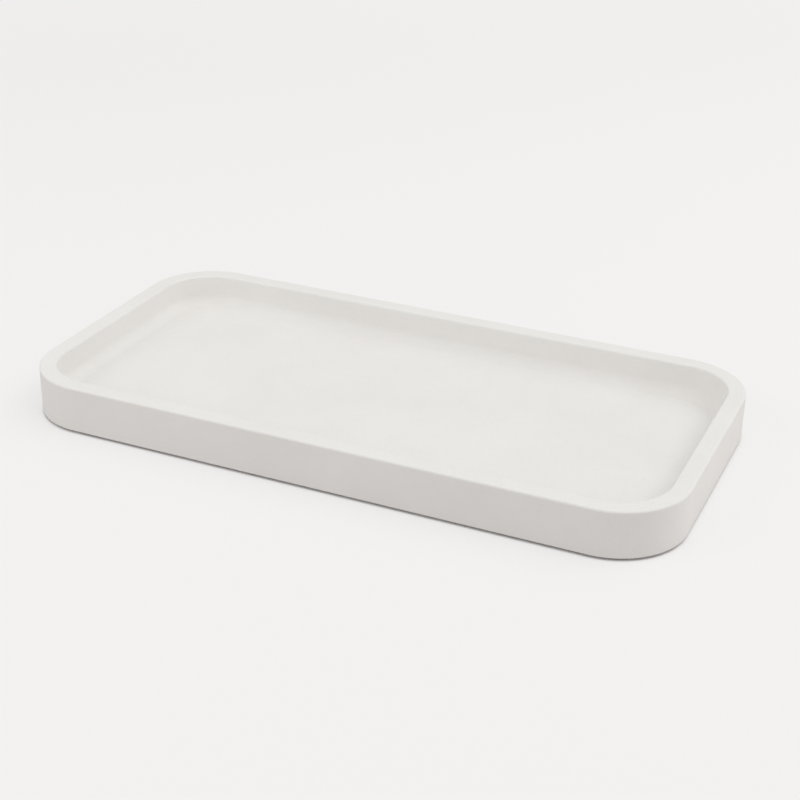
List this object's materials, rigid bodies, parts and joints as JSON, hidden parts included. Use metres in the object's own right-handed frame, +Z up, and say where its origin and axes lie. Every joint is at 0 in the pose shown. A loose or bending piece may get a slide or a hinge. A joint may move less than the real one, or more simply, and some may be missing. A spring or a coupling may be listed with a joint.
{
  "type": "tray",
  "caption": "Shallow rounded-rectangle cast tray with a flat rim and a coved well, standing on thin anti-slip pads.",
  "frame": {"origin": "middle of the tray in plan, on the surface that its pads stand on", "axes": "+X along the long sides, +Y across towards the back, +Z up out of the well"},
  "size_m": [0.3, 0.15, 0.0221],
  "materials": {
    "cast_mineral": "matte",
    "pad_rubber": "matte"
  },
  "bodies": {
    "root": {"tray_body": "cast_mineral", "foot_pad_front_left": "pad_rubber", "foot_pad_front_right": "pad_rubber", "foot_pad_back_left": "pad_rubber", "foot_pad_back_right": "pad_rubber"}
  },
  "joints": []
}
